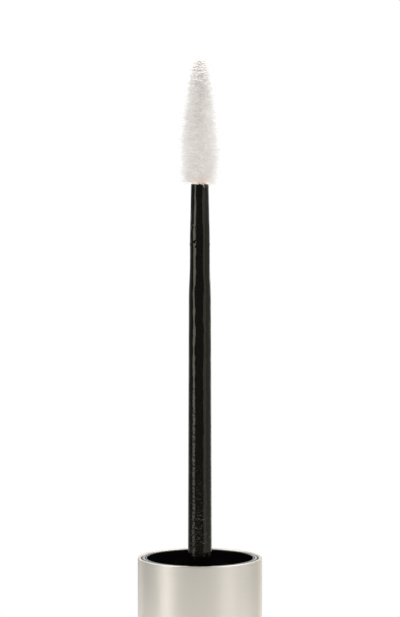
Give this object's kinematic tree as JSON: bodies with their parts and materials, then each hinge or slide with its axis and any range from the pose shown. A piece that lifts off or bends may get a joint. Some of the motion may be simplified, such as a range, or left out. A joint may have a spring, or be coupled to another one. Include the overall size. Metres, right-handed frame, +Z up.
{
  "type": "mascara tube with brush applicator",
  "caption": "Mascara standing open: a metal-skinned cap with a slim black wand and a conical fibre brush pointing up, beside its threaded tube with a wiper.",
  "frame": {"origin": "centre of the cap's closed end, on the surface that the cap and the tube stand on", "axes": "+Z up along the cap and the wand towards the brush tip; the tube stands towards +X and +Y"},
  "size_m": [0.064, 0.064, 0.1226],
  "materials": {
    "satin_aluminium": "satin, warm silver anodised",
    "black_polypropylene": "gloss",
    "rod_plastic": "gloss, finely speckled near the cap",
    "wiper_rubber": "soft matt",
    "gasket_foam": "matt",
    "core_steel": "drawn wire",
    "nylon_fibre": "translucent ivory fibre",
    "mascara_paste": "wet paste"
  },
  "bodies": {
    "applicator": {"cap_shell": "satin_aluminium", "cap_sleeve": "black_polypropylene", "inner_cap": "black_polypropylene", "neck_gasket": "gasket_foam", "wand_rod": "rod_plastic", "core_wire": "core_steel", "bristles": "nylon_fibre"},
    "tube": {"tube_shell": "satin_aluminium", "bottle": "black_polypropylene", "wiper": "wiper_rubber", "mascara_fill": "mascara_paste"}
  },
  "joints": [
    {"name": "tube_lift", "type": "slide", "parent": "applicator", "child": "tube", "axis": [0, 0, 1], "range_m": [0, 0.13]}
  ]
}
